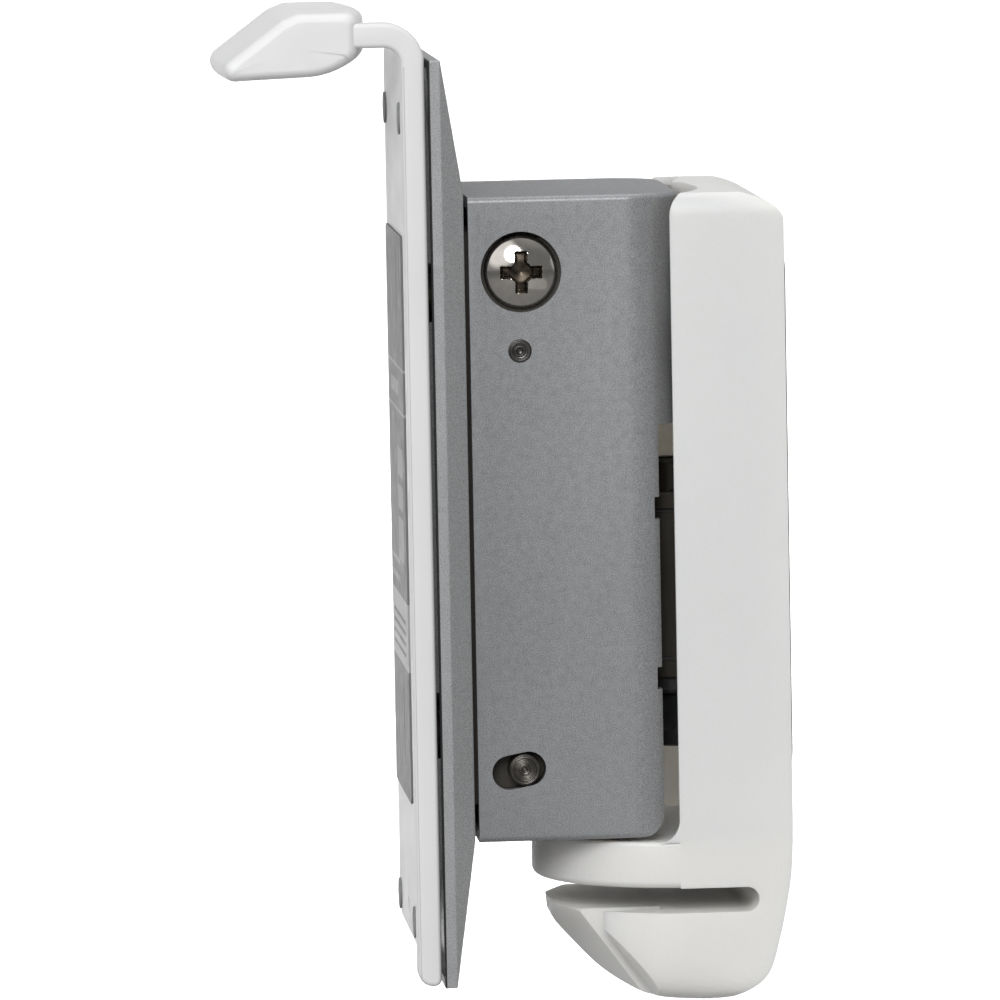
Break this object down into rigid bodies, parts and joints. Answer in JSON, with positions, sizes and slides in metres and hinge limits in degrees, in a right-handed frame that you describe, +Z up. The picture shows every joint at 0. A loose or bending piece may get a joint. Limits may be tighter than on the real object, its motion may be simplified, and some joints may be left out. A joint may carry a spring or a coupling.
{
  "type": "tilt and swivel wall bracket",
  "caption": "Small wall bracket: a white cover, a grey box that swivels in it, and a tilting front plate with a padded hook that holds a small device.",
  "frame": {"origin": "on the wall plane behind the middle of the wall plate, level with the middle of the box", "axes": "+Z up, +Y into the wall, the plate and its hook face -Y, X is the width"},
  "size_m": [0.05, 0.0916, 0.1639],
  "materials": {
    "zinc_steel": "zinc plated sheet steel",
    "black_steel": "black oxide steel",
    "black_nylon": "moulded black nylon",
    "spring_steel": "spring steel strip",
    "white_plastic": "fine matt moulded white plastic",
    "grey_paint": "satin grey metallic paint with fine speckle",
    "bush_bronze": "sintered bronze",
    "rivet_steel": "turned steel",
    "screw_chrome": "nickel plated steel",
    "pin_steel": "turned dark steel",
    "tray_paint": "satin grey metallic paint",
    "white_paint": "satin white powder coat",
    "soft_white": "soft white silicone",
    "grey_label": "printed grey film",
    "bumper_grey": "grey elastomer"
  },
  "bodies": {
    "wall_base": {"wall_plate": "zinc_steel", "swivel_bolt": "zinc_steel", "clamp_nut": "black_steel", "upper_washer": "black_nylon", "lower_washer": "black_nylon", "cover_clips": "spring_steel", "wall_cover": "white_plastic"},
    "swivel_box": {"swivel_housing": "grey_paint", "rear_web": "zinc_steel", "swivel_block": "zinc_steel", "lower_bush": "bush_bronze", "upper_bush": "bush_bronze", "block_screws": "zinc_steel", "side_liners": "zinc_steel", "liner_rivets": "rivet_steel"},
    "tilt_plate": {"tilt_frame": "zinc_steel", "tilt_screws": "screw_chrome", "weld_nuts": "zinc_steel", "cross_pin": "pin_steel", "pin_clips": "spring_steel", "back_tray": "tray_paint", "plate_studs": "zinc_steel", "frame_rivets": "zinc_steel", "hook_plate": "white_paint", "hook_bar": "white_paint", "hook_pad": "soft_white", "face_label": "grey_label", "bumper_pads": "bumper_grey"}
  },
  "joints": [
    {"name": "swivel", "type": "hinge", "parent": "wall_base", "child": "swivel_box", "pos_m": [0, -0.0178, 0], "axis": [0, 0, 1], "range_deg": [-12, 12]},
    {"name": "tilt", "type": "hinge", "parent": "swivel_box", "child": "tilt_plate", "pos_m": [0, -0.0596, 0.0406], "axis": [1, 0, 0], "range_deg": [-1.7, 0.3]}
  ]
}
